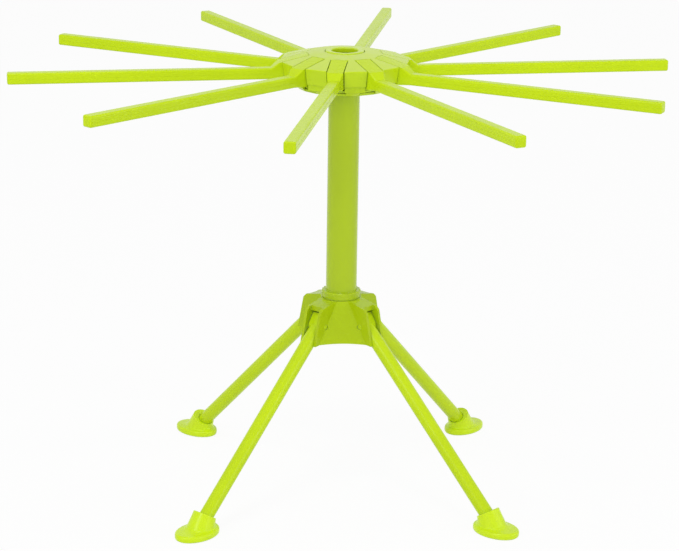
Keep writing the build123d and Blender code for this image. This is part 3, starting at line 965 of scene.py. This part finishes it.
class RACK_OT_feet(bpy.types.Operator):
    """Models each oval foot with its rounded sole, hollow underside, leaning boss and dark mouth"""

    bl_idname = "rack.feet"
    bl_label = "Feet"

    hollow_shares = (0.08, 0.3, 0.55, 0.8, 1.0)
    flare_power = 1.5
    boss_steps = 10
    mouth_floor_share = 0.9

    def execute(self, context):
        sizes = context.scene.rack.feet
        for index, leg in enumerate(LEGS):
            turn, hinge = heading(f"{leg}_fold")
            lean = atan2(hinge.z, sizes.leg_circle - hinge.xy.length)
            rings = self.sole_rings(sizes) + self.boss_rings(sizes) + self.mouth_rings(sizes, lean)
            mesh = self.skinned(rings, sizes.sides)
            place = Matrix.Rotation(turn, 4, "Z") @ Matrix.Translation((sizes.circle, 0, 0))
            bmesh.ops.transform(mesh, matrix=place, verts=mesh.verts)
            piece = to_piece(mesh, f"foot_{index + 1}_finish", "foot", f"{leg}_body")
            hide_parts(f"foot_{index + 1}")
        return {"FINISHED"}

    def quarter(self, steps):
        """Angles over a quarter turn."""
        return [pi / 2 * step / steps for step in range(steps + 1)]

    def sole_rings(self, sizes):
        """Rings from the middle of the hollow, round the sole's edge, to its upper face.

        Every ring is its shift, its rise, half its length, half its width and its tilt.
        """
        long = sizes.half_length
        wide = sizes.half_width
        hollow_long = long - sizes.cup_rim
        hollow_wide = wide - sizes.cup_rim
        rings = []
        for share in self.hollow_shares:
            rise = sizes.cup * sqrt(1 - share * share)
            rings.append((0.0, rise, hollow_long * share, hollow_wide * share, 0.0))
        for swing in self.quarter(sizes.steps):
            inset = sizes.edge * (1 - sin(swing))
            rise = sizes.edge * (1 - cos(swing))
            rings.append((0.0, rise, long - inset, wide - inset, 0.0))
        for swing in self.quarter(sizes.steps):
            inset = sizes.edge * (1 - cos(swing))
            rise = sizes.sole - sizes.edge * (1 - sin(swing))
            rings.append((0.0, rise, long - inset, wide - inset, 0.0))
        return rings

    def boss_rings(self, sizes):
        """Rings up the hollow flare and the leaning boss to the rounded rim."""
        top = (0.0, sizes.sole, sizes.half_length - sizes.edge, sizes.half_width - sizes.edge, 0.0)
        root = (
            -sizes.half_length * sizes.root_shift,
            sizes.sole + sizes.flare,
            sizes.half_length * sizes.root_length,
            sizes.half_width * sizes.root_width,
            0.0,
        )
        rings = []
        for swing in self.quarter(sizes.steps)[1:]:
            ring = list(self.between(sin(swing), top, root))
            ring[1] = sizes.sole + sizes.flare * (1 - cos(swing))
            rings.append(tuple(ring))
        rim = self.rim_ring(sizes, sizes.boss, sizes.rim)
        for step in range(1, self.boss_steps):
            share = step / self.boss_steps
            ring = list(self.between(share, root, rim))
            for entry in (2, 3):
                ring[entry] = rim[entry] + (root[entry] - rim[entry]) * (1 - share) ** self.flare_power
            rings.append(tuple(ring))
        for swing in self.quarter(sizes.steps):
            radius = sizes.boss - sizes.rim * (1 - cos(swing))
            sink = sizes.rim * (1 - sin(swing))
            rings.append(self.rim_ring(sizes, radius, sink))
        return rings

    def mouth_rings(self, sizes, lean):
        """Rings over the mouth's rounded edge, down the dark gap and in to the leg."""
        bore = sizes.leg_radius + sizes.mouth
        rings = []
        for swing in self.quarter(sizes.steps):
            radius = bore + sizes.mouth_edge * (1 - sin(swing))
            sink = sizes.mouth_edge * (1 - cos(swing))
            rings.append(self.leg_ring(sizes, lean, radius, sink))
        for radius in (bore, sizes.leg_radius * self.mouth_floor_share):
            rings.append(self.leg_ring(sizes, lean, radius, sizes.mouth_depth))
        return rings

    def rim_ring(self, sizes, radius, sink):
        """A ring round the rim's middle, sunk under the rim's plane."""
        shift = sink * sin(sizes.boss_tilt) - sizes.boss_lean
        return shift, sizes.boss_height - sink * cos(sizes.boss_tilt), radius, radius, sizes.boss_tilt

    def leg_ring(self, sizes, lean, radius, sink):
        """A ring round the leg, in a plane that is sunk under the rim's."""
        tilt = sizes.boss_tilt
        start = sizes.leg_circle - sizes.circle
        facing = sin(lean + tilt)
        run = ((start + sizes.boss_lean) * sin(tilt) + sizes.boss_height * cos(tilt) - sink) / facing
        return start - run * cos(lean), run * sin(lean), radius / facing, radius, tilt

    def between(self, share, first, last):
        """A ring part of the way from one ring to another."""
        return tuple(a + (b - a) * share for a, b in zip(first, last))

    def skinned(self, rings, sides):
        """A closed mesh that is extruded from each ring to the next."""
        places = []
        for shift, rise, long, wide, tilt in rings:
            turned = Matrix.Translation((shift, 0, rise)) @ Matrix.Rotation(-tilt, 4, "Y")
            places.append(turned @ Matrix.Diagonal((long, wide, 1.0, 1.0)))
        mesh = bmesh.new()
        bmesh.ops.create_circle(mesh, cap_ends=True, segments=sides, radius=1.0, matrix=places[0])
        border = list(mesh.edges)
        for last, following in zip(places, places[1:]):
            made = bmesh.ops.extrude_edge_only(mesh, edges=border)["geom"]
            moved = [part for part in made if isinstance(part, bmesh.types.BMVert)]
            border = [part for part in made if isinstance(part, bmesh.types.BMEdge) and part.is_boundary]
            bmesh.ops.transform(mesh, matrix=following @ last.inverted(), verts=moved)
        bmesh.ops.edgeloop_fill(mesh, edges=border)
        bmesh.ops.remove_doubles(mesh, verts=mesh.verts, dist=WELD)
        bmesh.ops.recalc_face_normals(mesh, faces=mesh.faces)
        return mesh


class RACK_OT_fasteners(bpy.types.Operator):
    """Finishes the screws and the hinge pins"""

    bl_idname = "rack.fasteners"
    bl_label = "Screws and pins"

    def execute(self, context):
        arm_pins = [f"arm_pin_{index + 1:02d}" for index in range(ARM_COUNT)]
        for name in ["head_screws", "hub_screw"] + arm_pins:
            dress_node(name, "steel")
        for index in range(LEG_COUNT):
            dress_node(f"leg_pin_{index + 1}", "pin")
        return {"FINISHED"}


class RACK_PT_panel(bpy.types.Panel):
    """Lists the rack's pieces and their sizes and colours"""

    bl_idname = "RACK_PT_panel"
    bl_label = "Drying rack"
    bl_space_type = "VIEW_3D"
    bl_region_type = "UI"
    bl_category = "Rack"

    def draw(self, context):
        for operator in OPERATORS:
            self.layout.operator(operator.bl_idname)
        settings = context.scene.rack
        for title in ("colours", "edges", "marks", "feet", "view"):
            box = self.layout.box()
            box.label(text=title.title())
            group = getattr(settings, title)
            for name in group.__annotations__:
                box.prop(group, name)


OPERATORS = (
    RACK_OT_stage,
    RACK_OT_head,
    RACK_OT_lifter,
    RACK_OT_arms,
    RACK_OT_column,
    RACK_OT_hub,
    RACK_OT_legs,
    RACK_OT_feet,
    RACK_OT_fasteners,
)
GROUPS = (RackColours, RackEdges, RackMarks, RackFeet, RackView, RackSettings)


def register():
    for group in GROUPS:
        bpy.utils.register_class(group)
    bpy.types.Scene.rack = PointerProperty(type=RackSettings)
    for operator in OPERATORS:
        bpy.utils.register_class(operator)
    bpy.utils.register_class(RACK_PT_panel)


def unregister():
    bpy.utils.unregister_class(RACK_PT_panel)
    for operator in reversed(OPERATORS):
        bpy.utils.unregister_class(operator)
    del bpy.types.Scene.rack
    for group in reversed(GROUPS):
        bpy.utils.unregister_class(group)


def main():
    """Makes every piece in order."""
    register()
    bpy.ops.rack.stage()
    bpy.ops.rack.head()
    bpy.ops.rack.lifter()
    bpy.ops.rack.arms()
    bpy.ops.rack.column()
    bpy.ops.rack.hub()
    bpy.ops.rack.legs()
    bpy.ops.rack.feet()
    bpy.ops.rack.fasteners()


if __name__ == "__main__":
    main()
